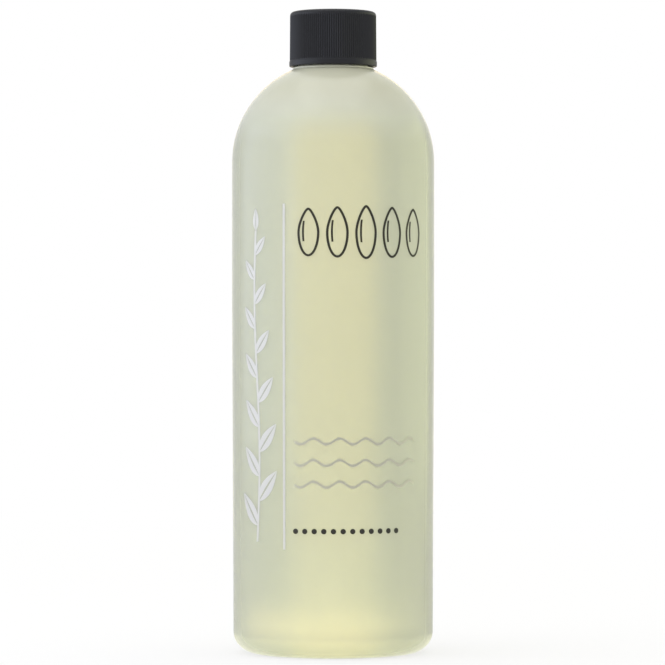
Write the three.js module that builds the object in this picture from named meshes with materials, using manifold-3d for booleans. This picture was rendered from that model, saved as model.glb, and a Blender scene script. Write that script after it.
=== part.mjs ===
// A round-shouldered 16 fl oz bottle of nail polish remover, as it comes apart on a bench:
// a blow-moulded bottle with a threaded neck, a pouring reducer pressed into the neck,
// a ribbed screw cap, the foam liner inside the cap, and the liquid.
// Millimetres, +Z up. The origin is on the bottle's axis, on the surface that it stands on.

import * as THREE from 'three';
import { mergeVertices } from 'three/addons/utils/BufferGeometryUtils.js';
import Module from 'manifold-3d';

const wasm = await Module();
wasm.setup();

// Bottle body
const bodyDiameter = 63.5; // the widest part, a straight stretch below the shoulder
const heelDiameter = 62.6; // the side draws in a little from there down to the base
const shoulderHeight = 154.2; // height where the domed shoulder begins
const straightSide = 44.2; // length of the straight stretch
const shoulderRise = 31.75; // how far the dome would rise if the neck didn't cut it off
const wall = 1.2;
const heelWidth = 7.6; // the rounded edge of the base, measured across
const heelRise = 6.6; // and measured up
const standRingWidth = 3.0; // the flat ring that the bottle stands on
const pushUp = 2.5; // the base is raised this far in the middle

// Neck of the bottle, a 24-410 finish
const neckBore = 18.4;
const neckWall = 1.8; // between the threads
const collarWidth = 1.7; // the plain ring under the cap stands out this far from the neck
const collarHeight = 0.6;
const finishHeight = 14.35; // from the collar up to the sealing land
const landChamfer = 0.4; // on the outer edge of the sealing land

// Screw thread, 8 turns to the inch
const threadPitch = 3.175;
const threadHeight = 1.0; // how far the neck's thread stands out
const neckThreadTurns = 1.5;
const neckThreadRoot = 1.8; // width of the neck's thread where it leaves the neck
const neckThreadCrest = 0.8;
const threadFromLand = 2.2; // from the sealing land down to the middle of the highest thread
const capThreadTurns = 1.25;
const capThreadRoot = 1.4;
const capThreadCrest = 0.5;
const threadClearance = 0.35; // between each crest and the wall that it faces
const flankClearance = 0.1; // added between the flanks that pull the cap down
const threadSink = 0.3; // how far a thread is rooted in its wall

// Pouring reducer
const flangeInset = 0.1; // the flange ends this far inside the sealing land's edge
const flangeThickness = 0.8;
const plugLength = 10.0; // below the flange
const plugWall = 1.1;
const plugClearance = 0.1; // between the sealing beads and the bore
const beadHeight = 0.25;
const beadWidth = 0.9;
const beadCount = 3;
const beadSpacing = 2.4;
const cupDepth = 5.2; // the pouring plate lies this far below the flange's top
const plateThickness = 1.0;
const orificeDiameter = 6.35;
const reducerChamfer = 0.2;

// Screw cap and its liner
const capWall = 1.45; // from the bore to the smooth band at the open end
const capDraft = 0.25; // the closed end is this much smaller in radius
const capTopThickness = 1.4;
const capCornerRadius = 1.2;
const capLeadIn = 0.35; // chamfer at the mouth of the bore
const capRimGap = 0.3; // between the cap's rim and the collar
const bandHeight = 1.7; // the smooth band below the ribs
const bandProud = 0.15; // how far the band stands out past the ribs
const ribCount = 120;
const ribDepth = 0.3;
const ribRunOut = 0.5; // length over which a groove fades at each end
const linerThickness = 1.0;
const linerClearance = 0.3; // between the liner's edge and the cap's bore

// Liquid
const headspace = 11.3; // from the liquid's surface up to the collar, which leaves about 480 ml
const fillClearance = 0.1; // between the liquid and the bottle's inside

// Facets
const roundSegments = 48;
const shoulderSteps = 9;
const heelSteps = 5;
const pushUpSteps = 4;
const cornerSteps = 3;
const threadStepsPerTurn = 32;
const threadFadeSteps = 4;

// Radii that follow from the sizes above
const bodyRadius = bodyDiameter / 2;
const standOuterRadius = heelDiameter / 2 - heelWidth;
const standInnerRadius = standOuterRadius - standRingWidth;
const boreRadius = neckBore / 2;
const neckRadius = boreRadius + neckWall;
const collarRadius = neckRadius + collarWidth;
const neckThreadRadius = neckRadius + threadHeight;
const capThreadRadius = neckRadius + threadClearance;
const capBoreRadius = neckThreadRadius + threadClearance;
const capRimRadius = capBoreRadius + capWall;

// Heights that follow, from the base up to the top of the cap
const collarBase = shoulderHeight + shoulderRise * Math.sqrt(1 - (collarRadius / bodyRadius) ** 2);
const fillLevel = collarBase - headspace;
const collarTop = collarBase + collarHeight;
const capRim = collarTop + capRimGap;
const landHeight = collarTop + finishHeight;
const flangeTop = landHeight + flangeThickness;
const linerTop = flangeTop + linerThickness;
const capTop = linerTop + capTopThickness;

// The middle of the neck's thread at its lower end. The cap's thread is placed by it too.
const threadStart = landHeight - threadFromLand - neckThreadTurns * threadPitch;

function point(radius, height) {
  return new THREE.Vector2(radius, height);
}

// Points along a quarter or less of an ellipse, between two angles
function arc(centreRadius, centreHeight, across, rise, fromAngle, toAngle, steps) {
  const curve = new THREE.EllipseCurve(centreRadius, centreHeight, across, rise, fromAngle, toAngle);
  return curve.getPoints(steps);
}

// Points along the raised middle of the base, from the axis out to the stand ring
function pushUpCurve(lift) {
  const middle = point(0, pushUp + lift);
  const bend = point(standInnerRadius / 2, pushUp + lift);
  const edge = point(standInnerRadius, lift);
  return new THREE.QuadraticBezierCurve(middle, bend, edge).getPoints(pushUpSteps);
}

function turned(profile, segments = roundSegments) {
  return new THREE.LatheGeometry(profile, segments).rotateX(Math.PI / 2);
}

// A closed geometry as a solid that can be joined and cut
function solidOf(geometry) {
  const bare = geometry.clone();
  bare.deleteAttribute('normal');
  bare.deleteAttribute('uv');
  const merged = mergeVertices(bare);
  const mesh = new wasm.Mesh({
    numProp: 3,
    vertProperties: merged.getAttribute('position').array,
    triVerts: new Uint32Array(merged.index.array),
  });
  return new wasm.Manifold(mesh);
}

function geometryOf(solid) {
  const mesh = solid.getMesh();
  const geometry = new THREE.BufferGeometry();
  geometry.setAttribute('position', new THREE.BufferAttribute(mesh.vertProperties, 3));
  geometry.setIndex(new THREE.BufferAttribute(mesh.triVerts, 1));
  geometry.computeVertexNormals();
  return geometry;
}

// One helical ridge that fades out at both ends. Its crest lies outside its root, or inside it.
function threadRidge({ rootRadius, crestRadius, rootWidth, crestWidth, turns, startHeight, startAngle }) {
  const outwards = Math.sign(crestRadius - rootRadius);
  const sunkRadius = rootRadius - outwards * threadSink;
  const steps = Math.round(turns * threadStepsPerTurn);
  const positions = [];
  for (let step = 0; step <= steps; step++) {
    const turn = turns * step / steps;
    const angle = startAngle + turn * 2 * Math.PI;
    const middle = startHeight + turn * threadPitch;
    const stepsFromEnd = Math.min(step, steps - step);
    const fade = Math.min(1, (stepsFromEnd + 1) / threadFadeSteps);
    const crest = THREE.MathUtils.lerp(rootRadius, crestRadius, fade);
    const section = [
      [sunkRadius, -rootWidth / 2],
      [crest, -crestWidth / 2],
      [crest, crestWidth / 2],
      [sunkRadius, rootWidth / 2],
    ];
    if (outwards < 0) section.reverse();
    for (const [radius, rise] of section) {
      positions.push(radius * Math.cos(angle), radius * Math.sin(angle), middle + rise);
    }
  }
  const triangles = [0, 1, 2, 0, 2, 3];
  for (let step = 0; step < steps; step++) {
    for (let side = 0; side < 4; side++) {
      const here = step * 4 + side;
      const beside = step * 4 + (side + 1) % 4;
      triangles.push(here, here + 4, beside, beside, here + 4, beside + 4);
    }
  }
  const last = steps * 4;
  triangles.push(last, last + 2, last + 1, last, last + 3, last + 2);
  const geometry = new THREE.BufferGeometry();
  geometry.setAttribute('position', new THREE.Float32BufferAttribute(positions, 3));
  geometry.setIndex(triangles);
  return geometry;
}

// Outline of the bottle's inside, kept a gap clear of it, from the middle of the floor up to the land
function cavityOutline(gap) {
  const inset = wall + gap;
  const innerRadius = bodyRadius - inset;
  const mouthRadius = boreRadius - gap;
  const mouthAngle = Math.acos(mouthRadius / innerRadius);
  return [
    ...pushUpCurve(inset),
    ...arc(standOuterRadius, heelRise, heelWidth - inset, heelRise - inset, -Math.PI / 2, 0, heelSteps),
    point(innerRadius, shoulderHeight - straightSide),
    ...arc(0, shoulderHeight, innerRadius, shoulderRise - inset, 0, mouthAngle, shoulderSteps),
    point(mouthRadius, landHeight),
  ];
}

function makeBottle() {
  const collarAngle = Math.acos(collarRadius / bodyRadius);
  const outside = [
    ...pushUpCurve(0),
    ...arc(standOuterRadius, heelRise, heelWidth, heelRise, -Math.PI / 2, 0, heelSteps),
    point(bodyRadius, shoulderHeight - straightSide),
    ...arc(0, shoulderHeight, bodyRadius, shoulderRise, 0, collarAngle, shoulderSteps),
    point(collarRadius, collarTop),
    point(neckRadius, collarTop),
    point(neckRadius, landHeight - landChamfer),
    point(neckRadius - landChamfer, landHeight),
  ];
  const shell = turned([...outside, ...cavityOutline(0).reverse()]);
  const thread = threadRidge({
    rootRadius: neckRadius,
    crestRadius: neckThreadRadius,
    rootWidth: neckThreadRoot,
    crestWidth: neckThreadCrest,
    turns: neckThreadTurns,
    startHeight: threadStart,
    startAngle: 0,
  });
  return geometryOf(solidOf(shell).add(solidOf(thread)));
}

// A flanged plug with sealing beads on its outside, and a cup with the pouring hole inside it
function makeReducer() {
  const flangeRadius = neckRadius - landChamfer - flangeInset;
  const beadRadius = boreRadius - plugClearance;
  const plugRadius = beadRadius - beadHeight;
  const cupRadius = plugRadius - plugWall;
  const orificeRadius = orificeDiameter / 2;
  const plugBottom = landHeight - plugLength;
  const plateTop = flangeTop - cupDepth;
  const plateBottom = plateTop - plateThickness;
  const beads = [];
  for (let place = beadCount; place > 0; place--) {
    const middle = landHeight - place * beadSpacing;
    beads.push(
      point(plugRadius, middle - beadWidth / 2),
      point(beadRadius, middle),
      point(plugRadius, middle + beadWidth / 2),
    );
  }
  return turned([
    point(orificeRadius, plateBottom),
    point(cupRadius, plateBottom),
    point(cupRadius, plugBottom),
    point(plugRadius - reducerChamfer, plugBottom),
    point(plugRadius, plugBottom + reducerChamfer),
    ...beads,
    point(plugRadius, landHeight),
    point(flangeRadius, landHeight),
    point(flangeRadius, flangeTop - reducerChamfer),
    point(flangeRadius - reducerChamfer, flangeTop),
    point(cupRadius + reducerChamfer, flangeTop),
    point(cupRadius, flangeTop - reducerChamfer),
    point(cupRadius, plateTop),
    point(orificeRadius, plateTop),
    point(orificeRadius, plateBottom),
  ]);
}

// The cap without its bore. In every second column of points the ribs' rows are pulled in,
// which makes the grooves between the ribs.
function ribbedBlank() {
  const topRadius = capRimRadius - capDraft;
  const lowRibRadius = capRimRadius - bandProud;
  const bandTop = capRim + bandHeight;
  const ribTop = capTop - capCornerRadius;
  const cornerCentre = topRadius - capCornerRadius;
  const band = [
    point(0, capRim),
    point(capRimRadius - bandProud, capRim),
    point(capRimRadius, capRim + bandProud),
    point(capRimRadius, bandTop - bandProud),
    point(lowRibRadius, bandTop),
  ];
  const ribs = [
    point(lowRibRadius, bandTop + ribRunOut),
    point(topRadius, ribTop - ribRunOut),
  ];
  const top = [
    ...arc(cornerCentre, ribTop, capCornerRadius, capCornerRadius, 0, Math.PI / 2, cornerSteps),
    point(0, capTop),
  ];
  const profile = [...band, ...ribs, ...top];
  const geometry = new THREE.LatheGeometry(profile, 2 * ribCount);
  const position = geometry.getAttribute('position');
  for (let column = 1; column < 2 * ribCount; column += 2) {
    for (let row = band.length; row < band.length + ribs.length; row++) {
      const index = column * profile.length + row;
      const shrink = 1 - ribDepth / profile[row].x;
      position.setX(index, position.getX(index) * shrink);
      position.setZ(index, position.getZ(index) * shrink);
    }
  }
  return geometry.rotateX(Math.PI / 2);
}

function makeCap() {
  const bore = turned([
    point(0, capRim - capLeadIn),
    point(capBoreRadius + 2 * capLeadIn, capRim - capLeadIn),
    point(capBoreRadius, capRim + capLeadIn),
    point(capBoreRadius, linerTop),
    point(0, linerTop),
  ]);
  // The cap's thread pulls on the underside of the neck's thread
  const drop = (neckThreadRoot + capThreadCrest) / 2 + flankClearance;
  const skippedTurns = neckThreadTurns - capThreadTurns;
  const thread = threadRidge({
    rootRadius: capBoreRadius,
    crestRadius: capThreadRadius,
    rootWidth: capThreadRoot,
    crestWidth: capThreadCrest,
    turns: capThreadTurns,
    startHeight: threadStart - drop + skippedTurns * threadPitch,
    startAngle: skippedTurns * 2 * Math.PI,
  });
  return geometryOf(solidOf(ribbedBlank()).subtract(solidOf(bore)).add(solidOf(thread)));
}

function makeLiner() {
  const radius = capBoreRadius - linerClearance;
  return turned([
    point(0, flangeTop),
    point(radius, flangeTop),
    point(radius, linerTop),
    point(0, linerTop),
  ]);
}

// The bottle's inside, a little smaller, cut off level at the liquid's surface
function makeLiquid() {
  const cavity = turned([...cavityOutline(fillClearance), point(0, landHeight)]);
  const air = new THREE.BoxGeometry(bodyDiameter, bodyDiameter, landHeight);
  air.translate(0, 0, fillLevel + landHeight / 2);
  return geometryOf(solidOf(cavity).subtract(solidOf(air)));
}

// Frosted natural polyethylene
const bottleMaterial = new THREE.MeshStandardMaterial({
  color: 0xd5d8bd,
  roughness: 0.45,
  metalness: 0,
  transparent: true,
  opacity: 0.6,
});
// Pale yellow-green solvent
const liquidMaterial = new THREE.MeshStandardMaterial({
  color: 0xddd9a6,
  roughness: 0.05,
  metalness: 0,
  transparent: true,
  opacity: 0.8,
});
// Milky low-density polyethylene
const reducerMaterial = new THREE.MeshStandardMaterial({ color: 0xe9eae2, roughness: 0.5, metalness: 0 });
// Black moulded polypropylene
const capMaterial = new THREE.MeshStandardMaterial({ color: 0x26272b, roughness: 0.42, metalness: 0 });
// White foamed polyethylene
const linerMaterial = new THREE.MeshStandardMaterial({ color: 0xf1f0ea, roughness: 0.8, metalness: 0 });

function piece(name, geometry, material) {
  const mesh = new THREE.Mesh(geometry, material);
  mesh.name = name;
  return mesh;
}

// The closure unscrews as one from the bottle
const closure = new THREE.Group();
closure.add(
  piece('screw_cap', makeCap(), capMaterial),
  piece('cap_liner', makeLiner(), linerMaterial),
);

const filledBottle = new THREE.Group();
filledBottle.add(
  piece('bottle', makeBottle(), bottleMaterial),
  piece('pour_reducer', makeReducer(), reducerMaterial),
  piece('remover_liquid', makeLiquid(), liquidMaterial),
  closure,
);

export default filledBottle;
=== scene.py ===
import math

import bpy
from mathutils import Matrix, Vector


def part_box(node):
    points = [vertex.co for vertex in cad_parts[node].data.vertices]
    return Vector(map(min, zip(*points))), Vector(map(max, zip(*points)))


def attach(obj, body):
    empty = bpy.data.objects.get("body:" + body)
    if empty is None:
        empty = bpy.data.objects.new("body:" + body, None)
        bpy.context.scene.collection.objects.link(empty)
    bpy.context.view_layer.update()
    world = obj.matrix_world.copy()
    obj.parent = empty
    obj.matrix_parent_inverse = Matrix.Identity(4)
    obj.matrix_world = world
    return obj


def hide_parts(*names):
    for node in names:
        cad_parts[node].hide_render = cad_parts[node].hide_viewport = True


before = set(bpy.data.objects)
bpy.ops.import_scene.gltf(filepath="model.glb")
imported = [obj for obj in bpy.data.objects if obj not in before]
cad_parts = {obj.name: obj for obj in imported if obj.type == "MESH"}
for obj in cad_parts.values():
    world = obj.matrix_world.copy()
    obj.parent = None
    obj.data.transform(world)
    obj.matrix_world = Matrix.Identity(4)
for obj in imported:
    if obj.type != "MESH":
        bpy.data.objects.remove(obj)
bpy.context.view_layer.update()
mm = 0.001


# sRGB hex to the linear colour that shaders take
def hexColour(code):
    channels = [int(code[i:i + 2], 16) / 255 for i in (1, 3, 5)]
    linear = [c / 12.92 if c <= 0.04045 else ((c + 0.055) / 1.055) ** 2.4 for c in channels]
    return (*linear, 1.0)


# A key is a socket's name, or its number where two sockets share a name
def addNode(tree, kind, settings=None, links=None):
    node = tree.nodes.new(kind)
    for key, value in (settings or {}).items():
        if isinstance(key, int) or key in node.inputs:
            node.inputs[key].default_value = value
        else:
            setattr(node, key, value)
    for key, socket in (links or {}).items():
        tree.links.new(socket, node.inputs[key])
    return node


def newMaterial(name):
    material = bpy.data.materials.new(name)
    material.use_nodes = True
    material.node_tree.nodes.clear()
    return material, material.node_tree


def perMetre(sizeMm):  # a texture scale that gives features of this size
    return 1 / (sizeMm * mm)


def selectNothing():
    if bpy.context.object and bpy.context.object.mode != "OBJECT":
        bpy.ops.object.mode_set(mode="OBJECT")
    bpy.ops.object.select_all(action="DESELECT")


def takePiece(piece):  # active, and the only one selected
    selectNothing()
    bpy.context.view_layer.objects.active = piece
    piece.select_set(True)


def openMesh(piece):  # no vertex selected
    takePiece(piece)
    bpy.ops.object.mode_set(mode="EDIT")
    bpy.ops.mesh.select_mode(type="VERT")
    bpy.ops.mesh.select_all(action="DESELECT")
    bpy.ops.object.mode_set(mode="OBJECT")


def pickVertices(piece, wanted):  # selects in edit mode those whose place fits
    openMesh(piece)
    for vertex in piece.data.vertices:
        vertex.select = wanted(vertex.co)
    bpy.ops.object.mode_set(mode="EDIT")


def applyModifier(piece, kind, **settings):
    takePiece(piece)
    modifier = piece.modifiers.new(kind.title(), kind)
    for key, value in settings.items():
        setattr(modifier, key, value)
    bpy.ops.object.modifier_apply(modifier=modifier.name)


def roundEdges(piece, radius, segments):
    applyModifier(
        piece, "BEVEL", width=radius * mm, segments=segments, limit_method="ANGLE",
        angle_limit=math.radians(50))


def closeMesh(piece, smoothDegrees=35):  # merge, turn faces outwards, smooth
    openMesh(piece)
    bpy.ops.object.mode_set(mode="EDIT")
    bpy.ops.mesh.select_all(action="SELECT")
    bpy.ops.mesh.remove_doubles(threshold=0.001 * mm)
    bpy.ops.mesh.normals_make_consistent(inside=False)
    bpy.ops.object.mode_set(mode="OBJECT")
    bpy.ops.object.shade_smooth_by_angle(angle=math.radians(smoothDegrees))


def arcPoints(centre, across, rise, fromDegrees, toDegrees, steps):
    shares = [i / steps for i in range(steps + 1)]
    angles = [math.radians(fromDegrees + (toDegrees - fromDegrees) * share) for share in shares]
    return [(centre[0] + across * math.cos(a), centre[1] + rise * math.sin(a)) for a in angles]


# A ring is added, extruded and scaled from point to point of an outline in mm.
# A ring that starts or ends on the axis is closed there with a fan.
def turnPiece(name, outline, sides):
    selectNothing()
    onAxis = [radius == 0 for radius, height in outline]
    rings = [p for p in outline if p[0] > 0]
    radius, height = rings[0]
    bpy.ops.mesh.primitive_circle_add(
        vertices=sides, radius=radius * mm, location=(0, 0, height * mm),
        fill_type="TRIFAN" if onAxis[0] else "NOTHING")
    piece = bpy.context.object
    piece.name = piece.data.name = name
    bpy.ops.object.transform_apply(location=True, rotation=True, scale=True)
    bpy.ops.object.mode_set(mode="EDIT")
    bpy.ops.mesh.select_mode(type="EDGE")
    bpy.ops.mesh.select_all(action="SELECT")
    if onAxis[0]:
        bpy.ops.mesh.region_to_loop()
    for nextRadius, nextHeight in rings[1:]:
        lift = (nextHeight - height) * mm
        bpy.ops.mesh.extrude_region_move(TRANSFORM_OT_translate={"value": (0, 0, lift)})
        grow = nextRadius / radius
        bpy.ops.transform.resize(value=(grow, grow, 1), center_override=(0, 0, 0))
        radius, height = nextRadius, nextHeight
    if onAxis[-1]:
        bpy.ops.mesh.edge_face_add()
        bpy.ops.mesh.poke()
    bpy.ops.object.mode_set(mode="OBJECT")
    closeMesh(piece)
    return piece


def fit(piece, material, body, node=None):
    piece.data.materials.clear()
    piece.data.materials.append(material)
    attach(piece, body)
    if node:
        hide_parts(node)


# Places that the frame gives, in mm
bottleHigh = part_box("bottle")[1] / mm
capLow, capHigh = (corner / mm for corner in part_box("screw_cap"))
linerLow, linerHigh = (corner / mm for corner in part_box("cap_liner"))
reducerLow, reducerHigh = (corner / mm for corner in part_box("pour_reducer"))
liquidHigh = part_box("remover_liquid")[1] / mm
bodyRadius = bottleHigh.x
landHeight = bottleHigh.z


# Camera, level with the middle of the bottle, far off with a long lens
cameraView = {
    "distance": 1160,
    "height": 100.6,
    "sideways": -0.2,
    "lens": 199.5,
    "sensor": 36,
}
bpy.ops.object.camera_add(
    location=(cameraView["sideways"] * mm, -cameraView["distance"] * mm, cameraView["height"] * mm),
    rotation=(math.radians(90), 0, 0))
camera = bpy.context.object
camera.data.lens = cameraView["lens"]
camera.data.sensor_width = cameraView["sensor"]
bpy.context.scene.camera = camera
print("camera placed")


thread = {  # 24-410, 8 turns to the inch
    "pitch": 3.175,
    "height": 1.0,
    "fromLand": 2.2,
    "neckTurns": 1.5,
    "neckWidths": (1.8, 0.8),  # at the root and at the crest
    "capTurns": 1.25,
    "capWidths": (1.4, 0.5),
    "clearance": 0.35,
    "sink": 0.3,
    "drop": 1.25,  # from the neck's ridge down to the cap's ridge below it
    "stepsPerTurn": 96,
    "fadeSteps": 12,
}


# Helical ridge on the neck or in the cap, right-handed, faded at both ends
def threadRidge(name, ridge):
    selectNothing()
    outwards = 1 if ridge["crest"] > ridge["root"] else -1
    sunk = ridge["root"] - outwards * thread["sink"]
    rootHalf, crestHalf = (width / 2 for width in ridge["widths"])
    bpy.ops.mesh.primitive_plane_add(size=1)
    piece = bpy.context.object
    piece.name = piece.data.name = name
    halves = {False: (sunk, rootHalf), True: (ridge["crest"], crestHalf)}
    for vertex in piece.data.vertices:
        radius, half = halves[vertex.co.x > 0]
        vertex.co = (radius * mm, 0, math.copysign(half, vertex.co.y) * mm)
    bpy.ops.object.mode_set(mode="EDIT")
    bpy.ops.mesh.select_all(action="SELECT")
    bpy.ops.mesh.delete(type="ONLY_FACE")
    bpy.ops.object.mode_set(mode="OBJECT")
    steps = round(ridge["turns"] * thread["stepsPerTurn"])
    applyModifier(
        piece, "SCREW", axis="Z", angle=ridge["turns"] * 2 * math.pi, steps=steps, render_steps=steps,
        screw_offset=ridge["turns"] * thread["pitch"] * mm, use_merge_vertices=False)
    corners = len(piece.data.vertices) // (steps + 1)
    for number, vertex in enumerate(piece.data.vertices):
        step = number // corners
        fade = min(1, (min(step, steps - step) + 0.5) / thread["fadeSteps"])
        radius = math.hypot(vertex.co.x, vertex.co.y)
        if abs(radius - ridge["crest"] * mm) < 0.1 * mm:
            shrink = (ridge["root"] + (ridge["crest"] - ridge["root"]) * fade) / ridge["crest"]
            vertex.co.x *= shrink
            vertex.co.y *= shrink
    pickVertices(piece, lambda place: False)
    bpy.ops.mesh.select_all(action="SELECT")
    bpy.ops.mesh.fill_holes(sides=0)
    bpy.ops.transform.rotate(
        value=-ridge["startTurn"] * 2 * math.pi, orient_axis="Z", center_override=(0, 0, 0))
    bpy.ops.transform.translate(value=(0, 0, ridge["startHeight"] * mm))
    bpy.ops.object.mode_set(mode="OBJECT")
    closeMesh(piece)
    return piece


def joinRidge(piece, ridge):
    applyModifier(piece, "BOOLEAN", operation="UNION", solver="EXACT", object=ridge)
    bpy.data.objects.remove(ridge)
    takePiece(piece)
    bpy.ops.object.shade_smooth_by_angle(angle=math.radians(35))


bottle = {
    "sides": 192,
    "wall": 1.2,
    "heelRadius": 31.3,
    "shoulderHeight": 154.2,
    "straightSide": 44.2,
    "shoulderRise": 31.75,
    "heelWidth": 7.6,
    "heelRise": 6.6,
    "standRing": 3.0,
    "pushUp": 2.5,
    "bore": 9.2,
    "neck": 11.0,
    "collar": 12.7,
    "finishHeight": 14.35,
    "landChamfer": 0.4,
    "edgeRadius": 0.14,
    "seamHalfWidth": 0.25,
    "seamProud": 0.05,
    "seamFrom": 0.5,  # height where the seam leaves the base's edge
    "weldProud": 0.35,
    "weldShare": 0.9,  # its half length to the push-up's radius
    "heelSteps": 12,
    "shoulderSteps": 28,
    "pushUpSteps": 12,
}
standOuter = bottle["heelRadius"] - bottle["heelWidth"]
standInner = standOuter - bottle["standRing"]
collarTop = landHeight - bottle["finishHeight"]
collarShare = bottle["collar"] / bodyRadius
collarBase = bottle["shoulderHeight"] + bottle["shoulderRise"] * math.sqrt(1 - collarShare ** 2)
straightFrom = bottle["shoulderHeight"] - bottle["straightSide"]
threadStart = landHeight - thread["fromLand"] - thread["neckTurns"] * thread["pitch"]


def pushUpPoints(lift):
    shares = [i / bottle["pushUpSteps"] for i in range(1, bottle["pushUpSteps"] + 1)]
    return [(standInner * t, lift + bottle["pushUp"] * (1 - t * t)) for t in shares]


def skinPoints(inset, topRadius):  # from the base's edge up the side and over the shoulder
    radius = bodyRadius - inset
    topDegrees = math.degrees(math.acos(topRadius / radius))
    heelCentre = (standOuter, bottle["heelRise"])
    shoulderCentre = (0, bottle["shoulderHeight"])
    return [
        *arcPoints(heelCentre, bottle["heelWidth"] - inset, bottle["heelRise"] - inset,
                   -90, 0, bottle["heelSteps"]),
        (radius, straightFrom),
        *arcPoints(shoulderCentre, radius, bottle["shoulderRise"] - inset,
                   0, topDegrees, bottle["shoulderSteps"]),
    ]


def cavityPoints(gap):
    inset = bottle["wall"] + gap
    return [*pushUpPoints(inset), *skinPoints(inset, bottle["bore"] - gap)]


# The mould's parting line, up both sides and across the base, where it is the thicker pinched-off weld
def raiseSeam(piece):
    for side in (-1, 1):
        pickVertices(piece, lambda place: True)
        bpy.ops.mesh.bisect(plane_co=(0, side * bottle["seamHalfWidth"] * mm, 0), plane_no=(0, 1, 0))
        bpy.ops.object.mode_set(mode="OBJECT")
    outerSkin = skinPoints(0, bottle["collar"])
    onPlane, nearSkin, nearBase = 0.01, 0.3, 0.4

    def onSide(place):
        radius, height = abs(place.x) / mm, place.z / mm
        near = min(math.hypot(radius - r, height - z) for r, z in outerSkin)
        return abs(place.y) < onPlane * mm and near < nearSkin and height > bottle["seamFrom"]

    def onBase(place):
        radius, height = abs(place.x) / mm, place.z / mm
        lift = bottle["pushUp"] * (1 - (radius / standInner) ** 2)
        inWeld = radius < standInner * bottle["weldShare"]
        return abs(place.y) < onPlane * mm and inWeld and height < lift + nearBase

    for place, proud in ((onSide, bottle["seamProud"]), (onBase, bottle["weldProud"])):
        pickVertices(piece, place)
        bpy.ops.transform.shrink_fatten(value=proud * mm)
        bpy.ops.object.mode_set(mode="OBJECT")


def makeBottle():
    chamfer = bottle["landChamfer"]
    outside = [
        (0, bottle["pushUp"]),
        *pushUpPoints(0),
        *skinPoints(0, bottle["collar"]),
        (bottle["collar"], collarTop),
        (bottle["neck"], collarTop),
        (bottle["neck"], landHeight - chamfer),
        (bottle["neck"] - chamfer, landHeight),
        (bottle["bore"], landHeight),
    ]
    inside = [*reversed(cavityPoints(0)), (0, bottle["pushUp"] + bottle["wall"])]
    piece = turnPiece("frosted_bottle", outside + inside, bottle["sides"])
    roundEdges(piece, bottle["edgeRadius"], 2)
    raiseSeam(piece)
    ridge = threadRidge("neck_ridge", {
        "root": bottle["neck"],
        "crest": bottle["neck"] + thread["height"],
        "widths": thread["neckWidths"],
        "turns": thread["neckTurns"],
        "startHeight": threadStart,
        "startTurn": 0,
    })
    joinRidge(piece, ridge)
    return piece


liquid = {
    "gap": -0.1,  # it wets the wall, so that no film of air shows between them
    "meniscus": 0.6,
    "curl": (0.15, 0.35, 0.65, 1.0, 1.6),  # places across the meniscus, as shares of its width
    "curlDepth": 0.7,
    "rings": (0.8, 0.4, 0.05),
}


def makeLiquid():
    surface = liquidHigh.z
    inset = bottle["wall"] + liquid["gap"]
    wallPoints = [p for p in cavityPoints(liquid["gap"]) if p[1] < surface - liquid["meniscus"]]
    rise = (surface - bottle["shoulderHeight"]) / (bottle["shoulderRise"] - inset)
    edge = (bodyRadius - inset) * math.sqrt(1 - rise * rise)
    depth = liquid["meniscus"] * liquid["curlDepth"]
    curl = [(edge - liquid["meniscus"] * t, surface - depth * (1 - (1 - t) ** 2)) for t in liquid["curl"]]
    level = curl[-1][1]
    outline = [
        (0, bottle["pushUp"] + inset),
        *wallPoints,
        (edge, surface),
        *curl,
        *((edge * share, level) for share in liquid["rings"]),
        (0, level),
    ]
    return turnPiece("remover_fill", outline, bottle["sides"])


reducer = {
    "sides": 128,
    "flange": 10.5,
    "plug": 8.85,
    "cup": 7.75,
    "cupDepth": 5.2,
    "plate": 1.0,
    "orifice": 3.175,
    "beads": 3,
    "beadHeight": 0.25,
    "beadWidth": 0.9,
    "beadSpacing": 2.4,
    "beadSteps": 6,
    "chamfer": 0.2,
    "edgeRadius": 0.12,
}


def makeReducer():
    top, bottom, chamfer = reducerHigh.z, reducerLow.z, reducer["chamfer"]
    plateTop = top - reducer["cupDepth"]
    plateBottom = plateTop - reducer["plate"]
    grip = []
    for number in range(reducer["beads"], 0, -1):
        middle = (reducer["plug"], landHeight - number * reducer["beadSpacing"])
        grip += arcPoints(
            middle, reducer["beadHeight"], reducer["beadWidth"] / 2, -90, 90, reducer["beadSteps"])
    outline = [
        (reducer["orifice"], plateBottom),
        (reducer["cup"], plateBottom),
        (reducer["cup"], bottom),
        (reducer["plug"] - chamfer, bottom),
        (reducer["plug"], bottom + chamfer),
        *grip,
        (reducer["plug"], landHeight),
        (reducer["flange"], landHeight),
        (reducer["flange"], top - chamfer),
        (reducer["flange"] - chamfer, top),
        (reducer["cup"] + chamfer, top),
        (reducer["cup"], top - chamfer),
        (reducer["cup"], plateTop),
        (reducer["orifice"], plateTop),
        (reducer["orifice"], plateBottom),
    ]
    piece = turnPiece("pouring_reducer", outline, reducer["sides"])
    roundEdges(piece, reducer["edgeRadius"], 2)
    return piece


cap = {
    "ribs": 120,
    "columnsPerRib": 4,
    "draft": 0.25,
    "bandHeight": 1.7,
    "bandProud": 0.15,
    "ribDepth": 0.3,
    "ribRunOut": 0.5,
    "cornerRadius": 1.2,
    "rimCorner": 0.25,
    "bandStep": 0.12,
    "leadIn": 0.35,
    "ceilingRing": 0.25,  # to the bore's radius
    "topRing": 0.4,  # inwards from the corner
    "gateRadius": 1.1,
    "gateDepth": 0.12,
    "gateRings": (1.6, 1.25),  # round the dimple, to its radius
    "gateFloor": 1 / 3,
    "skin": 0.4,  # outwards from the bore, where only the outside's vertices are
}


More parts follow.
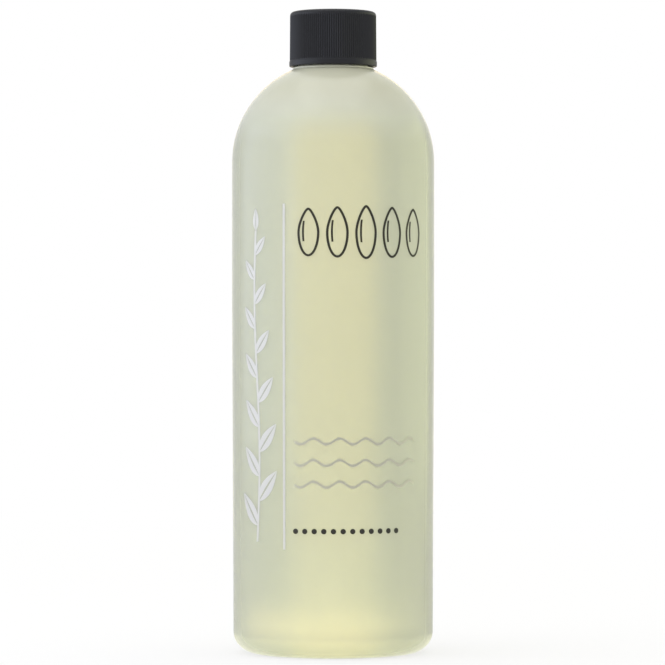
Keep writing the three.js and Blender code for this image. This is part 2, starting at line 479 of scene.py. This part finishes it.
def makeCap():
    sides = cap["ribs"] * cap["columnsPerRib"]
    rim, top, ceiling = capLow.z, capHigh.z, linerHigh.z
    rimRadius = capHigh.x
    topRadius = rimRadius - cap["draft"]
    bore = bottle["neck"] + thread["height"] + thread["clearance"]
    lowRib = rimRadius - cap["bandProud"]
    bandTop = rim + cap["bandHeight"]
    ribTop = top - cap["cornerRadius"]
    cornerRadius, rimCorner, proud = cap["cornerRadius"], cap["rimCorner"], cap["bandProud"]
    outline = [
        (0, ceiling),
        (bore * cap["ceilingRing"], ceiling),
        (bore, ceiling),
        (bore, rim + cap["leadIn"]),
        (bore + cap["leadIn"], rim),
        *arcPoints((rimRadius - rimCorner, rim + rimCorner), rimCorner, rimCorner, -90, 0, 3),
        *arcPoints((lowRib, bandTop - proud), proud, proud, 0, 90, 3),
        (lowRib, bandTop + cap["bandStep"]),
        (lowRib, bandTop + cap["ribRunOut"]),
        (topRadius, ribTop - cap["ribRunOut"]),
        *arcPoints((topRadius - cornerRadius, ribTop), cornerRadius, cornerRadius, 0, 90, 8),
        (topRadius - cornerRadius - cap["topRing"], top),
        *((cap["gateRadius"] * share, top) for share in cap["gateRings"]),
        (cap["gateRadius"], top - cap["gateDepth"]),
        (cap["gateRadius"] * cap["gateFloor"], top - cap["gateDepth"]),
        (0, top - cap["gateDepth"]),
    ]
    piece = turnPiece("ribbed_cap", outline, sides)
    # grooves: the middle column of each is drawn in fully, its two flanks by half
    lowest, highest = bandTop + cap["ribRunOut"] / 2, ribTop - cap["ribRunOut"] / 2

    def inRibs(place, column):
        turned = round(math.atan2(place.y, place.x) / (2 * math.pi) * sides)
        outside = place.xy.length > (bore + cap["skin"]) * mm
        return outside and lowest * mm < place.z < highest * mm and turned % cap["columnsPerRib"] == column

    for column, share in ((2, 1.0), (1, 0.5), (3, 0.5)):
        pickVertices(piece, lambda place: inRibs(place, column))
        shrink = 1 - share * cap["ribDepth"] / topRadius
        bpy.ops.transform.resize(value=(shrink, shrink, 1), center_override=(0, 0, 0))
        bpy.ops.object.mode_set(mode="OBJECT")
    skippedTurns = thread["neckTurns"] - thread["capTurns"]
    ridge = threadRidge("cap_ridge", {
        "root": bore,
        "crest": bottle["neck"] + thread["clearance"],
        "widths": thread["capWidths"],
        "turns": thread["capTurns"],
        "startHeight": threadStart - thread["drop"] + skippedTurns * thread["pitch"],
        "startTurn": skippedTurns,
    })
    joinRidge(piece, ridge)
    return piece


liner = {
    "sides": 128,
    "rings": (0.25, 0.85, 1),  # to its radius
    "edgeRadius": 0.15,
}


def makeLiner():
    low, high = linerLow.z, linerHigh.z
    rings = [linerHigh.x * share for share in liner["rings"]]
    outline = [(0, low), *((r, low) for r in rings), *((r, high) for r in reversed(rings)), (0, high)]
    piece = turnPiece("foam_liner", outline, liner["sides"])
    roundEdges(piece, liner["edgeRadius"], 3)
    return piece


frost = {  # the heights are in mm, down from the liquid's level or from the collar's base
    "milkyUnderLevel": 14,
    "milkyUnderCollar": 1,
    # where the painted shade over the head space begins, and where it is full
    "shadeUnderLevel": 6,
    "shadeUnderCollar": 5,
    "bodyClearness": 0.7,
    "neckClearness": 0.3,
}


# Natural high-density polyethylene, blow-moulded against a blasted mould: milky, with a soft satin sheen
def frostedPolyethylene():
    material, tree = newMaterial("frosted natural polyethylene")
    place = addNode(tree, "ShaderNodeTexCoord")
    # the blasted mould's grit is about 0.1 mm, too fine to show, so it is drawn at 0.9 mm
    grain = addNode(
        tree, "ShaderNodeTexNoise", {"Scale": perMetre(0.9), "Detail": 2.0},
        {"Vector": place.outputs["Object"]})
    bump = addNode(
        tree, "ShaderNodeBump", {"Strength": 0.03, "Distance": 0.02 * mm}, {"Height": grain.outputs["Fac"]})
    # the wall is a little uneven, in patches about as wide as a thumb
    cloud = addNode(
        tree, "ShaderNodeTexNoise", {"Scale": perMetre(28), "Detail": 2.0},
        {"Vector": place.outputs["Object"]})
    roughness = addNode(
        tree, "ShaderNodeMapRange", {"To Min": 0.21, "To Max": 0.24}, {"Value": cloud.outputs["Fac"]})
    stained = addNode(tree, "ShaderNodeValToRGB", None, {"Fac": cloud.outputs["Fac"]})
    stained.color_ramp.elements[0].color = hexColour("#f9fbed")
    stained.color_ramp.elements[1].color = hexColour("#fbfdef")
    # over the shoulder it thickens towards the neck: milkier, and less light gets through it
    height = addNode(tree, "ShaderNodeSeparateXYZ", None, {0: place.outputs["Object"]})
    thick = addNode(
        tree, "ShaderNodeMapRange",
        {"interpolation_type": "SMOOTHSTEP",
         "From Min": (liquidHigh.z - frost["milkyUnderLevel"]) * mm,
         "From Max": (collarBase - frost["milkyUnderCollar"]) * mm},
        {"Value": height.outputs["Z"]})
    clear = addNode(
        tree, "ShaderNodeMapRange", {"To Min": frost["bodyClearness"], "To Max": frost["neckClearness"]},
        {"Value": thick.outputs["Result"]})
    # above the liquid the wall is painted darker and greyer: painted shade for the dimmer head space
    headspaceShade = addNode(
        tree, "ShaderNodeMapRange",
        {"interpolation_type": "SMOOTHSTEP",
         "From Min": (liquidHigh.z - frost["shadeUnderLevel"]) * mm,
         "From Max": (collarBase - frost["shadeUnderCollar"]) * mm},
        {"Value": height.outputs["Z"]})
    # the painted shade's colour, mixed in over the head space
    tone = addNode(
        tree, "ShaderNodeMix", {"data_type": "RGBA", 7: hexColour("#e2e2cc")},
        {0: headspaceShade.outputs["Result"], 6: stained.outputs["Color"]})
    shader = addNode(
        tree, "ShaderNodeBsdfPrincipled", {"IOR": 1.5},
        {"Base Color": tone.outputs[2], "Roughness": roughness.outputs["Result"],
         "Transmission Weight": clear.outputs["Result"], "Normal": bump.outputs["Normal"]})
    addNode(tree, "ShaderNodeOutputMaterial", None, {"Surface": shader.outputs["BSDF"]})
    return material


# Clear solvent with a faint yellow-green tint, which deepens with the thickness seen through
def tintedSolvent():
    material, tree = newMaterial("tinted solvent")
    shader = addNode(tree, "ShaderNodeBsdfPrincipled", {
        "Base Color": hexColour("#ffffff"), "Roughness": 0.0, "IOR": 1.37, "Transmission Weight": 1.0})
    tint = addNode(tree, "ShaderNodeVolumeAbsorption", {"Color": hexColour("#fafcad"), "Density": 12.0})
    addNode(tree, "ShaderNodeOutputMaterial", None,
            {"Surface": shader.outputs["BSDF"], "Volume": tint.outputs["Volume"]})
    return material


# Black polypropylene, injection-moulded: satin, with the mould's fine texture
def blackPolypropylene():
    material, tree = newMaterial("black polypropylene")
    place = addNode(tree, "ShaderNodeTexCoord")
    # the mould's texture is about 0.1 mm, too fine to show, so it is drawn at 0.35 mm
    grain = addNode(
        tree, "ShaderNodeTexNoise", {"Scale": perMetre(0.35), "Detail": 4.0},
        {"Vector": place.outputs["Object"]})
    tone = addNode(tree, "ShaderNodeValToRGB", None, {"Fac": grain.outputs["Fac"]})
    tone.color_ramp.elements[0].color = hexColour("#131419")
    tone.color_ramp.elements[1].color = hexColour("#1c1d22")
    roughness = addNode(
        tree, "ShaderNodeMapRange", {"To Min": 0.36, "To Max": 0.5}, {"Value": grain.outputs["Fac"]})
    bump = addNode(
        tree, "ShaderNodeBump", {"Strength": 0.12, "Distance": 0.02 * mm}, {"Height": grain.outputs["Fac"]})
    shader = addNode(
        tree, "ShaderNodeBsdfPrincipled", {"IOR": 1.49, "Specular IOR Level": 0.3},
        {"Base Color": tone.outputs["Color"], "Roughness": roughness.outputs["Result"],
         "Normal": bump.outputs["Normal"]})
    addNode(tree, "ShaderNodeOutputMaterial", None, {"Surface": shader.outputs["BSDF"]})
    return material


# Milky low-density polyethylene, injection-moulded: waxy, and lets a little light through
def milkyPolyethylene():
    material, tree = newMaterial("milky polyethylene")
    place = addNode(tree, "ShaderNodeTexCoord")
    # flow marks of about half a millimetre
    grain = addNode(
        tree, "ShaderNodeTexNoise", {"Scale": perMetre(0.6), "Detail": 3.0},
        {"Vector": place.outputs["Object"]})
    tone = addNode(tree, "ShaderNodeValToRGB", None, {"Fac": grain.outputs["Fac"]})
    tone.color_ramp.elements[0].color = hexColour("#e6e7e0")
    tone.color_ramp.elements[1].color = hexColour("#eff0ea")
    roughness = addNode(
        tree, "ShaderNodeMapRange", {"To Min": 0.4, "To Max": 0.52}, {"Value": grain.outputs["Fac"]})
    shader = addNode(
        tree, "ShaderNodeBsdfPrincipled", {"IOR": 1.51, "Transmission Weight": 0.35},
        {"Base Color": tone.outputs["Color"], "Roughness": roughness.outputs["Result"]})
    addNode(tree, "ShaderNodeOutputMaterial", None, {"Surface": shader.outputs["BSDF"]})
    return material


# White foamed polyethylene, die-cut: dull, with fine closed cells
def foamedPolyethylene():
    material, tree = newMaterial("foamed polyethylene")
    place = addNode(tree, "ShaderNodeTexCoord")
    # the cells are about 0.2 mm, too fine to show, so they are drawn at 0.45 mm
    cells = addNode(
        tree, "ShaderNodeTexVoronoi", {"Scale": perMetre(0.45)}, {"Vector": place.outputs["Object"]})
    tone = addNode(tree, "ShaderNodeValToRGB", None, {"Fac": cells.outputs["Distance"]})
    tone.color_ramp.elements[0].color = hexColour("#e4e3dd")
    tone.color_ramp.elements[1].color = hexColour("#f4f3ee")
    bump = addNode(
        tree, "ShaderNodeBump", {"Strength": 0.3, "Distance": 0.05 * mm},
        {"Height": cells.outputs["Distance"]})
    shader = addNode(
        tree, "ShaderNodeBsdfPrincipled", {"IOR": 1.45, "Roughness": 0.8},
        {"Base Color": tone.outputs["Color"], "Normal": bump.outputs["Normal"]})
    addNode(tree, "ShaderNodeOutputMaterial", None, {"Surface": shader.outputs["BSDF"]})
    return material


bottlePiece = makeBottle()
fit(bottlePiece, frostedPolyethylene(), "bottle", "bottle")
print("bottle turned,", len(bottlePiece.data.polygons), "faces")
liquidPiece = makeLiquid()
fit(liquidPiece, tintedSolvent(), "bottle", "remover_liquid")
print("liquid filled,", len(liquidPiece.data.polygons), "faces")
reducerPiece = makeReducer()
fit(reducerPiece, milkyPolyethylene(), "bottle", "pour_reducer")
print("reducer turned,", len(reducerPiece.data.polygons), "faces")
capPiece = makeCap()
fit(capPiece, blackPolypropylene(), "cap", "screw_cap")
print("cap ribbed,", len(capPiece.data.polygons), "faces")
linerPiece = makeLiner()
fit(linerPiece, foamedPolyethylene(), "liner", "cap_liner")
print("liner cut,", len(linerPiece.data.polygons), "faces")


# Print on the front, in mm: "across" runs round the side from the front's middle, left is minus.
# Each mark is laid flat, given the ink's thickness, and wrapped on the side.
ink = {
    "thickness": 0.04,
    "offWall": 0.02,
}
rule = {
    "across": -15.8,
    "width": 0.7,
    "bottom": 33.9,
    "top": 140.2,
    "steps": 60,
}
sprig = {
    "across": -26.6,
    "bottom": 36.0,
    "top": 139.0,
    "stemWidth": 0.75,
    "stemSteps": 60,
    "bareStem": 5,  # below the first leaf
    "sway": 1.1,
    "leaves": 13,
    "leafLength": 12.5,
    "leafWidth": 4.6,
    "leafDegrees": 52,
    "leafSteps": (16, 7),
    "leafFoot": 0.8,  # under 1 puts the widest place nearer the foot
    "leafFullness": 0.9,
    "tipShare": 0.55,  # size of the last leaf to the first
}
nails = {
    "across": 10.3,
    "middle": 131.4,
    "count": 5,
    "spacing": 9.0,
    "width": 7.0,
    "height": 16.6,
    "sides": 56,
    "narrowing": 0.34,
    "taper": 1.5,
    "line": 0.75,
    "shrink": 0.05,  # in height, for each place away from the middle
    "glint": 0.6,
    "glintHeight": 0.42,  # the glint's size and place are to the nail's
    "glintLeft": 0.24,
    "glintUp": 0.02,
    "glintBend": 5,
    "glintSteps": 14,
}
ripples = {
    "across": 8.2,
    "middle": 60.6,
    "count": 3,
    "spacing": 6.6,
    "length": 41.0,
    "line": 0.8,
    "waveLength": 8.2,
    "waveHeight": 0.9,
    "steps": 100,
}
beads = {
    "across": 4.6,
    "middle": 39.6,
    "count": 12,
    "spacing": 3.0,
    "radius": 0.85,
    "sides": 20,
}


def sideRadius(height):  # the side draws in a little towards the base
    share = min(1, (height - bottle["heelRise"]) / (straightFrom - bottle["heelRise"]))
    return bottle["heelRadius"] + (bodyRadius - bottle["heelRadius"]) * share


def rowSteps(count):  # places in a row, counted from its middle
    return [number - (count - 1) / 2 for number in range(count)]


# A strip of small faces in the front plane, for a line that bends with the side
def flatStrip(name, length, width, steps, rows=1):
    selectNothing()
    bpy.ops.mesh.primitive_grid_add(
        x_subdivisions=steps, y_subdivisions=rows, size=1, rotation=(math.radians(90), 0, 0))
    piece = bpy.context.object
    piece.name = piece.data.name = name
    piece.scale = (length * mm, width * mm, 1)
    bpy.ops.object.transform_apply(location=True, rotation=True, scale=True)
    return piece


def placeFlat(piece, across, height, degrees=0):
    takePiece(piece)
    piece.rotation_euler = (0, math.radians(-degrees), 0)
    piece.location = (across * mm, 0, height * mm)
    bpy.ops.object.transform_apply(location=True, rotation=True, scale=True)


def copyMark(mark, across, height, degrees=0, scale=(1, 1, 1)):
    takePiece(mark)
    bpy.ops.object.duplicate()
    placed = bpy.context.object
    placed.scale = scale
    placeFlat(placed, across, height, degrees)
    return placed


def joinMarks(name, marks):
    selectNothing()
    for mark in marks:
        mark.select_set(True)
    bpy.context.view_layer.objects.active = marks[0]
    bpy.ops.object.join()
    piece = bpy.context.object
    piece.name = piece.data.name = name
    return piece


def wrapInk(piece):
    applyModifier(piece, "SOLIDIFY", thickness=ink["thickness"] * mm, offset=1)
    for vertex in piece.data.vertices:
        radius = sideRadius(vertex.co.z / mm) * mm + ink["offWall"] * mm - vertex.co.y
        turn = vertex.co.x / (bodyRadius * mm)
        vertex.co = (radius * math.sin(turn), -radius * math.cos(turn), vertex.co.z)
    closeMesh(piece, 40)
    return piece


def makeRule():
    height = rule["top"] - rule["bottom"]
    piece = flatStrip("silver_rule", height, rule["width"], rule["steps"])
    placeFlat(piece, rule["across"], (rule["top"] + rule["bottom"]) / 2, 90)
    return wrapInk(piece)


# One pointed leaf in two halves with a bare midrib, its foot at the origin
def makeLeaf():
    leaf = flatStrip("leaf", 1 / mm, 1 / mm, *sprig["leafSteps"])
    openMesh(leaf)
    bpy.ops.object.mode_set(mode="EDIT")
    bpy.ops.mesh.select_mode(type="FACE")
    bpy.ops.object.mode_set(mode="OBJECT")
    for face in leaf.data.polygons:
        face.select = abs(face.center.z) < 0.25 / sprig["leafSteps"][1]
    bpy.ops.object.mode_set(mode="EDIT")
    bpy.ops.mesh.delete(type="FACE")
    bpy.ops.object.mode_set(mode="OBJECT")
    for vertex in leaf.data.vertices:
        along = vertex.co.x + 0.5
        swell = math.sin(math.pi * along ** sprig["leafFoot"]) if 0 < along < 1 else 0
        belly = swell ** sprig["leafFullness"]
        vertex.co.x = along * sprig["leafLength"] * mm
        vertex.co.z *= belly * sprig["leafWidth"] * mm
    return leaf


def makeSprig():
    height = sprig["top"] - sprig["bottom"]
    tipLength = sprig["leafLength"] * sprig["tipShare"]
    stemTop = sprig["top"] - tipLength
    firstFoot = sprig["bottom"] + sprig["bareStem"]

    def sway(z):
        return sprig["sway"] * math.sin((z - sprig["bottom"]) / height * 2 * math.pi)

    stem = flatStrip("stem", stemTop - sprig["bottom"], sprig["stemWidth"], sprig["stemSteps"])
    placeFlat(stem, 0, (stemTop + sprig["bottom"]) / 2, 90)
    for vertex in stem.data.vertices:
        vertex.co.x += (sprig["across"] + sway(vertex.co.z / mm)) * mm
    leaf = makeLeaf()
    marks = [stem]
    for number in range(sprig["leaves"]):
        share = number / (sprig["leaves"] - 1)
        size = 1 + (sprig["tipShare"] - 1) * share
        foot = firstFoot + (stemTop - firstFoot) * share
        lean = sprig["leafDegrees"] if number % 2 else 180 - sprig["leafDegrees"]
        if share == 1:
            lean = 90  # the last leaf ends the stem
        marks.append(copyMark(leaf, sprig["across"] + sway(foot), foot, lean, (size, 1, size)))
    bpy.data.objects.remove(leaf)
    return wrapInk(joinMarks("silver_sprig", marks))


# An almond outline, and a short curved glint inside it
def makeNails():
    selectNothing()
    bpy.ops.mesh.primitive_circle_add(
        vertices=nails["sides"], radius=1, fill_type="NGON", rotation=(math.radians(90), 0, 0))
    outline = bpy.context.object
    bpy.ops.object.transform_apply(location=True, rotation=True, scale=True)
    for vertex in outline.data.vertices:
        narrowing = 1 - nails["narrowing"] * max(0, vertex.co.z) ** nails["taper"]
        vertex.co.x *= nails["width"] / 2 * mm * narrowing
        vertex.co.z *= nails["height"] / 2 * mm
    bpy.ops.object.mode_set(mode="EDIT")
    bpy.ops.mesh.select_mode(type="FACE")
    bpy.ops.mesh.select_all(action="SELECT")
    bpy.ops.mesh.inset(thickness=nails["line"] * mm, depth=0)
    bpy.ops.mesh.delete(type="FACE")
    bpy.ops.object.mode_set(mode="OBJECT")
    glint = flatStrip("glint", nails["height"] * nails["glintHeight"], nails["glint"], nails["glintSteps"])
    placeFlat(glint, -nails["width"] * nails["glintLeft"], nails["height"] * nails["glintUp"], 90)
    for vertex in glint.data.vertices:
        vertex.co.x += (vertex.co.z / (nails["height"] * mm)) ** 2 * nails["glintBend"] * mm
    nail = joinMarks("nail", [outline, glint])
    marks = [
        copyMark(nail, nails["across"] + step * nails["spacing"], nails["middle"],
                 scale=(1, 1, 1 - nails["shrink"] * abs(step)))
        for step in rowSteps(nails["count"])]
    bpy.data.objects.remove(nail)
    return wrapInk(joinMarks("black_nails", marks))


def makeRipples():
    ripple = flatStrip("ripple", ripples["length"], ripples["line"], ripples["steps"])
    for vertex in ripple.data.vertices:
        along = vertex.co.x / mm / ripples["waveLength"]
        vertex.co.z += ripples["waveHeight"] * math.sin(2 * math.pi * along) * mm
    marks = [
        copyMark(ripple, ripples["across"], ripples["middle"] + step * ripples["spacing"])
        for step in rowSteps(ripples["count"])]
    bpy.data.objects.remove(ripple)
    return wrapInk(joinMarks("silver_ripples", marks))


def makeBeads():
    selectNothing()
    bpy.ops.mesh.primitive_circle_add(
        vertices=beads["sides"], radius=beads["radius"] * mm, fill_type="TRIFAN",
        rotation=(math.radians(90), 0, 0))
    bead = bpy.context.object
    bpy.ops.object.transform_apply(location=True, rotation=True, scale=True)
    marks = [
        copyMark(bead, beads["across"] + step * beads["spacing"], beads["middle"])
        for step in rowSteps(beads["count"])]
    bpy.data.objects.remove(bead)
    return wrapInk(joinMarks("black_beads", marks))


# Silver screen ink: aluminium flakes in varnish, a dull pale metal that glints a little
def silverInk(name, darkFlake, paleFlake):
    material, tree = newMaterial(name)
    place = addNode(tree, "ShaderNodeTexCoord")
    # the flakes are about 0.02 mm, too fine to show, so they are drawn at 0.25 mm
    flakes = addNode(
        tree, "ShaderNodeTexNoise", {"Scale": perMetre(0.25), "Detail": 2.0},
        {"Vector": place.outputs["Object"]})
    tone = addNode(tree, "ShaderNodeValToRGB", None, {"Fac": flakes.outputs["Fac"]})
    tone.color_ramp.elements[0].color = hexColour(darkFlake)
    tone.color_ramp.elements[1].color = hexColour(paleFlake)
    roughness = addNode(
        tree, "ShaderNodeMapRange", {"To Min": 0.38, "To Max": 0.52}, {"Value": flakes.outputs["Fac"]})
    shader = addNode(
        tree, "ShaderNodeBsdfPrincipled", {"Metallic": 0.4},
        {"Base Color": tone.outputs["Color"], "Roughness": roughness.outputs["Result"]})
    addNode(tree, "ShaderNodeOutputMaterial", None, {"Surface": shader.outputs["BSDF"]})
    return material


# Black screen ink: a thin dull film, a little uneven where the mesh laid it down
def blackInk():
    material, tree = newMaterial("black screen ink")
    place = addNode(tree, "ShaderNodeTexCoord")
    # the mesh's threads are about 0.1 mm apart, too fine to show, so they are drawn at 0.4 mm
    lay = addNode(
        tree, "ShaderNodeTexNoise", {"Scale": perMetre(0.4), "Detail": 2.0},
        {"Vector": place.outputs["Object"]})
    tone = addNode(tree, "ShaderNodeValToRGB", None, {"Fac": lay.outputs["Fac"]})
    tone.color_ramp.elements[0].color = hexColour("#12110b")
    tone.color_ramp.elements[1].color = hexColour("#1c1a12")
    roughness = addNode(
        tree, "ShaderNodeMapRange", {"To Min": 0.45, "To Max": 0.6}, {"Value": lay.outputs["Fac"]})
    shader = addNode(
        tree, "ShaderNodeBsdfPrincipled", {"IOR": 1.48},
        {"Base Color": tone.outputs["Color"], "Roughness": roughness.outputs["Result"]})
    addNode(tree, "ShaderNodeOutputMaterial", None, {"Surface": shader.outputs["BSDF"]})
    return material


paleSilver = silverInk("pale silver screen ink", "#c0bfbd", "#cecdcb")
greySilver = silverInk("grey silver screen ink", "#aeada0", "#bdbcae")
black = blackInk()
for makeMark, inkMaterial in ((makeRule, paleSilver), (makeSprig, paleSilver), (makeNails, black),
                              (makeRipples, greySilver), (makeBeads, black)):
    markPiece = makeMark()
    fit(markPiece, inkMaterial, "bottle")
    print(markPiece.name, "printed,", len(markPiece.data.polygons), "faces")


# Studio: a white floor and backdrop, a warm panel behind, cool daylight from the left, a greenish fill
# from the right, white light from above, and a light table's lit patches under and behind the base
studio = {
    "floorRadius": 900,
    "floorSides": 96,
    "floorColour": "#f2f2f2",
    "floorShading": 0.3,  # how much of the floor's own light and shade shows round the bottle
    "roomLevel": 0.8,
    # levels by how far sideways a direction points, and how far behind the bottle they are in full
    "backdrop": ((0.2, 1.0), (0.42, 0.7), (0.8, 0.7), (1.0, 1.0)),
    "backdropFade": 0.25,
}
# level is the panel's own brightness, where 1 is white; a flagged panel isn't seen through the bottle
panels = {
    "back_band": {
        "place": (0, 700, 120), "aim": (0, 0, 110), "size": (300, 700),
        "shape": "RECTANGLE", "level": 0.74, "tint": "#ffd36b"},
    "left_window": {
        "place": (-700, -100, 150), "aim": (0, 0, 110), "size": (1200, 800),
        "shape": "RECTANGLE", "level": 1.22, "tint": "#e0e9ff", "flagged": True},
    "right_fill": {
        "place": (700, 250, 150), "aim": (0, 0, 110), "size": (800, 700),
        "shape": "RECTANGLE", "level": 0.95, "tint": "#f8ffb0", "flagged": True},
    "top_window": {
        "place": (0, 0, 900), "aim": (0, 0, 110), "size": (700, 700),
        "shape": "RECTANGLE", "level": 1.0, "tint": "#ffffff"},
    "top_left": {
        "place": (-500, -200, 800), "aim": (0, 0, 110), "size": (700, 700),
        "shape": "RECTANGLE", "level": 0.4, "tint": "#ffffff"},
    "table_behind": {
        "place": (5, 112, 2), "aim": (5, 112, 100), "size": (32, 156),
        "shape": "RECTANGLE", "level": 1.1, "tint": "#ffe0b4"},
    "table_back": {
        "place": (5, 60, 7), "aim": (5, 0, 7), "size": (12, 6),
        "shape": "RECTANGLE", "level": 1.3, "tint": "#ffe0a8"},
    "table_far": {
        "place": (0, 330, 2), "aim": (0, 330, 100), "size": (90, 280),
        "shape": "RECTANGLE", "level": 0.9, "tint": "#fff4e6"},
    "table_round": {
        "place": (0, 0, 0.3), "aim": (0, 0, 100), "size": (130, 130),
        "shape": "DISK", "level": 0.38, "tint": "#f6f3b4"},
    "table_under": {
        "place": (0, 0, 0.3), "aim": (0, 0, 100), "size": (38, 38),
        "shape": "DISK", "level": 6, "tint": "#ffeec8"},
}


# 1 for rays that should meet white: the camera's, and those that gloss and see-through plastic send on
def whiteSeen(tree):
    path = addNode(tree, "ShaderNodeLightPath")
    seen = addNode(tree, "ShaderNodeMath", {"operation": "MAXIMUM"},
                   {0: path.outputs["Is Glossy Ray"], 1: path.outputs["Is Transmission Ray"]})
    return path.outputs["Is Camera Ray"], seen.outputs[0]


# What gloss and see-through plastic meet in a direction from the bottle: white straight behind,
# dark flags on both sides of it, which draw the outline, and white elsewhere
def flaggedWhite(tree, direction):
    axes = addNode(tree, "ShaderNodeSeparateXYZ", None, {0: direction})
    sideways = addNode(tree, "ShaderNodeMath", {"operation": "ABSOLUTE"}, {0: axes.outputs["X"]})
    backdrop = addNode(tree, "ShaderNodeValToRGB", None, {"Fac": sideways.outputs[0]})
    stops = backdrop.color_ramp.elements
    while len(stops) < len(studio["backdrop"]):
        stops.new(1.0)
    for stop, (position, level) in zip(stops, studio["backdrop"]):
        stop.position = position
        stop.color = (level, level, level, 1)
    behind = addNode(
        tree, "ShaderNodeMapRange", {"From Min": 0.0, "From Max": studio["backdropFade"]},
        {"Value": axes.outputs["Y"]})
    around = addNode(
        tree, "ShaderNodeMix", {"data_type": "RGBA", 6: hexColour("#ffffff")},
        {0: behind.outputs["Result"], 7: backdrop.outputs["Color"]})
    return around.outputs[2]


def makeFloor():
    selectNothing()
    bpy.ops.mesh.primitive_circle_add(
        vertices=studio["floorSides"], radius=studio["floorRadius"] * mm, fill_type="TRIFAN")
    floor = bpy.context.object
    floor.name = "floor"
    material, tree = newMaterial("white floor")
    cameraRay, passedOn = whiteSeen(tree)
    # its own shading fades out towards the edge, where the floor runs into the white backdrop
    place = addNode(tree, "ShaderNodeTexCoord")
    shrunk = addNode(tree, "ShaderNodeMapping", {"Scale": (1 / (studio["floorRadius"] * mm),) * 3},
                     {"Vector": place.outputs["Object"]})
    fade = addNode(tree, "ShaderNodeTexGradient", {"gradient_type": "QUADRATIC_SPHERE"},
                   {"Vector": shrunk.outputs[0]})
    shading = addNode(tree, "ShaderNodeMath", {"operation": "MULTIPLY", 1: studio["floorShading"]},
                      {0: fade.outputs["Fac"]})
    rest = addNode(tree, "ShaderNodeMath", {"operation": "SUBTRACT", 0: 1.0}, {1: shading.outputs[0]})
    seen = addNode(tree, "ShaderNodeMath", {"operation": "MULTIPLY"}, {0: cameraRay, 1: rest.outputs[0]})
    paint = addNode(tree, "ShaderNodeBsdfDiffuse", {"Color": hexColour(studio["floorColour"])})
    white = addNode(tree, "ShaderNodeEmission", {"Color": hexColour("#ffffff"), "Strength": 1.0})
    lit = addNode(
        tree, "ShaderNodeMixShader", None,
        {0: seen.outputs[0], 1: paint.outputs[0], 2: white.outputs[0]})
    direction = addNode(
        tree, "ShaderNodeVectorMath", {"operation": "NORMALIZE"}, {0: place.outputs["Object"]})
    passed = addNode(
        tree, "ShaderNodeEmission", {"Strength": 1.0}, {"Color": flaggedWhite(tree, direction.outputs[0])})
    mixed = addNode(
        tree, "ShaderNodeMixShader", None, {0: passedOn, 1: lit.outputs[0], 2: passed.outputs[0]})
    addNode(tree, "ShaderNodeOutputMaterial", None, {"Surface": mixed.outputs[0]})
    floor.data.materials.append(material)


# White to the camera all round, and a plain level of light on all that is matt
def makeRoom():
    world = bpy.data.worlds.new("room")
    bpy.context.scene.world = world
    world.use_nodes = True
    tree = world.node_tree
    tree.nodes.clear()
    cameraRay, passedOn = whiteSeen(tree)
    place = addNode(tree, "ShaderNodeTexCoord")
    room = addNode(
        tree, "ShaderNodeBackground", {"Color": hexColour("#ffffff"), "Strength": studio["roomLevel"]})
    passed = addNode(
        tree, "ShaderNodeBackground", {"Strength": 1.0},
        {"Color": flaggedWhite(tree, place.outputs["Generated"])})
    white = addNode(tree, "ShaderNodeBackground", {"Color": hexColour("#ffffff"), "Strength": 1.0})
    unseen = addNode(
        tree, "ShaderNodeMixShader", None, {0: passedOn, 1: room.outputs[0], 2: passed.outputs[0]})
    mixed = addNode(
        tree, "ShaderNodeMixShader", None, {0: cameraRay, 1: unseen.outputs[0], 2: white.outputs[0]})
    addNode(tree, "ShaderNodeOutputWorld", None, {"Surface": mixed.outputs[0]})


def addPanel(name, panel):
    place, aim = Vector(panel["place"]) * mm, Vector(panel["aim"]) * mm
    bpy.ops.object.light_add(type="AREA", location=place)
    light = bpy.context.object
    light.name = name
    light.rotation_euler = (aim - place).to_track_quat("-Z", "Y").to_euler()
    light.data.shape = panel["shape"]
    light.data.size, light.data.size_y = (side * mm for side in panel["size"])
    area = light.data.size * light.data.size_y * (math.pi / 4 if panel["shape"] == "DISK" else 1)
    light.data.energy = panel["level"] * math.pi * area
    light.data.color = hexColour(panel["tint"])[:3]
    light.visible_camera = False
    light.visible_transmission = not panel.get("flagged")


makeFloor()
makeRoom()
for panelName, panelSettings in panels.items():
    addPanel(panelName, panelSettings)
bpy.context.scene.view_settings.view_transform = "Standard"
print("studio lit")
